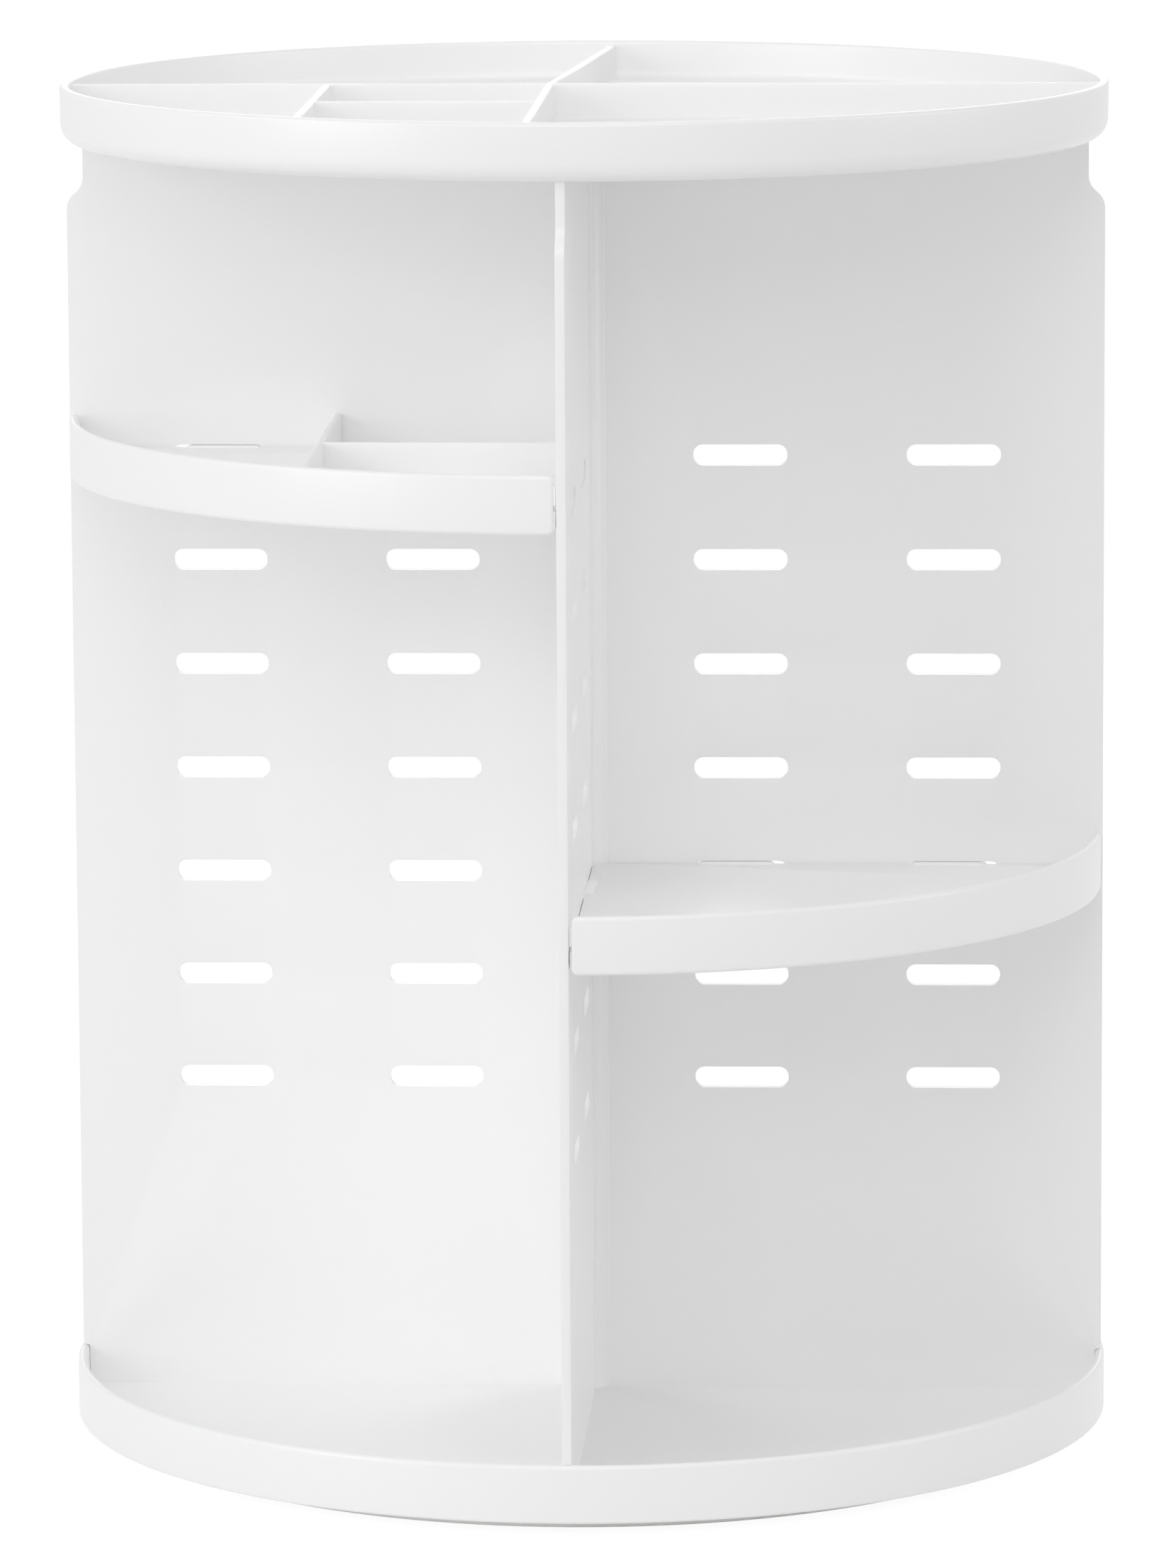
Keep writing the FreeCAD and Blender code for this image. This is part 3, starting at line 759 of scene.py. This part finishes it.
def seenDirectly(tree):  # 1 for what the camera sees, also in gloss and through glass
    rays = addNode(tree, "ShaderNodeLightPath").outputs
    seen = maths(tree, "MAXIMUM", rays["Is Camera Ray"], rays["Is Glossy Ray"])
    return maths(tree, "MAXIMUM", seen, rays["Is Transmission Ray"])


def studioFloor(form):  # pale floor that looks white, with a part of the object's shadow kept
    material, tree, output = newMaterial("paleStudioFloor")
    diffuse = addNode(tree, "ShaderNodeBsdfDiffuse", {"Color": hexColour(form["floor"])})
    white = addNode(tree, "ShaderNodeEmission", {"Color": pureWhite, "Strength": form["white"]})
    share = maths(tree, "MULTIPLY", seenDirectly(tree), 1 - form["shadowShare"])
    mixed = addNode(tree, "ShaderNodeMixShader", {0: share, 1: diffuse.outputs[0], 2: white.outputs[0]})
    tree.links.new(mixed.outputs[0], output.inputs["Surface"])
    bm = bmesh.new()
    bmesh.ops.create_grid(bm, x_segments=1, y_segments=1, size=form["size"] / 2)
    meshObject("studioFloor", bm, material)


studioFloor(stageForm)

lightForm = {
    "world": 0.40, "backdrop": 1.0, "aim": (0, 0, 0.15),
    "diffuseBounces": 12, "allBounces": 16,  # long light paths fill the white bays
    "softboxes": {
        "leftHigh": {"place": (-1.65, -0.73, 1.41), "size": 1.4, "power": 6.5},
        "leftLow": {"place": (-1.65, -1.38, 0.62), "size": 1.1, "power": 8.8},
        "frontHigh": {"place": (0.0, -1.80, 1.41), "size": 1.4, "power": 8.3},
        "rightSide": {"place": (2.04, -0.36, 0.90), "size": 1.4, "power": 8.3},
        "backHigh": {"place": (0.0, 1.90, 1.05), "size": 1.2, "power": 6.0},
        "overhead": {"place": (0.25, -0.35, 2.00), "size": 1.2, "power": 3.0},
    },
}


def studioLight(form):  # soft world that looks white, and softboxes aimed at the object
    world = bpy.data.worlds.new("softStudio")
    bpy.context.scene.world = world
    world.use_nodes = True
    tree = world.node_tree
    tree.nodes.clear()
    strength = addNode(tree, "ShaderNodeMapRange", {
        "Value": seenDirectly(tree), "To Min": form["world"], "To Max": form["backdrop"]})
    backdrop = addNode(tree, "ShaderNodeBackground", {"Color": pureWhite, "Strength": strength.outputs[0]})
    addNode(tree, "ShaderNodeOutputWorld", {"Surface": backdrop.outputs[0]})
    for name, box in form["softboxes"].items():
        lamp = bpy.data.lights.new(name, "AREA")
        lamp.energy = box["power"]
        lamp.size = box["size"]
        light = bpy.data.objects.new(name, lamp)
        bpy.context.scene.collection.objects.link(light)
        light.location = box["place"]
        light.rotation_euler = (Vector(form["aim"]) - Vector(box["place"])).to_track_quat("-Z", "Y").to_euler()
    bpy.context.scene.cycles.diffuse_bounces = form["diffuseBounces"]
    bpy.context.scene.cycles.max_bounces = form["allBounces"]


studioLight(lightForm)

cameraForm = {
    "focalPixels": 12305.3, "imageHeight": 2212, "sensorHeight": 36.0, "clipStart": 0.05, "clipEnd": 20.0,
    "distance": 1.9150, "height": 0.45275, "pitch": 9.1230, "roll": 0.3238, "turn": 2.6749,
}


def photoCamera(form):  # camera fitted to the photograph
    data = bpy.data.cameras.new("photoCamera")
    data.sensor_fit = "VERTICAL"
    data.sensor_height = form["sensorHeight"]
    data.lens = form["focalPixels"] / form["imageHeight"] * form["sensorHeight"]
    data.clip_start = form["clipStart"]
    data.clip_end = form["clipEnd"]
    camera = bpy.data.objects.new("photoCamera", data)
    bpy.context.scene.collection.objects.link(camera)
    turn, away = math.radians(form["turn"]), form["distance"]
    place = Matrix.Translation((away * math.sin(turn), -away * math.cos(turn), form["height"]))
    look = Matrix.Rotation(turn, 4, "Z") @ Matrix.Rotation(math.radians(90 - form["pitch"]), 4, "X")
    camera.matrix_world = place @ look @ Matrix.Rotation(-math.radians(form["roll"]), 4, "Z")
    bpy.context.scene.camera = camera


photoCamera(cameraForm)
bpy.context.scene.view_settings.view_transform = "Standard"
print("stage, light and camera ready")
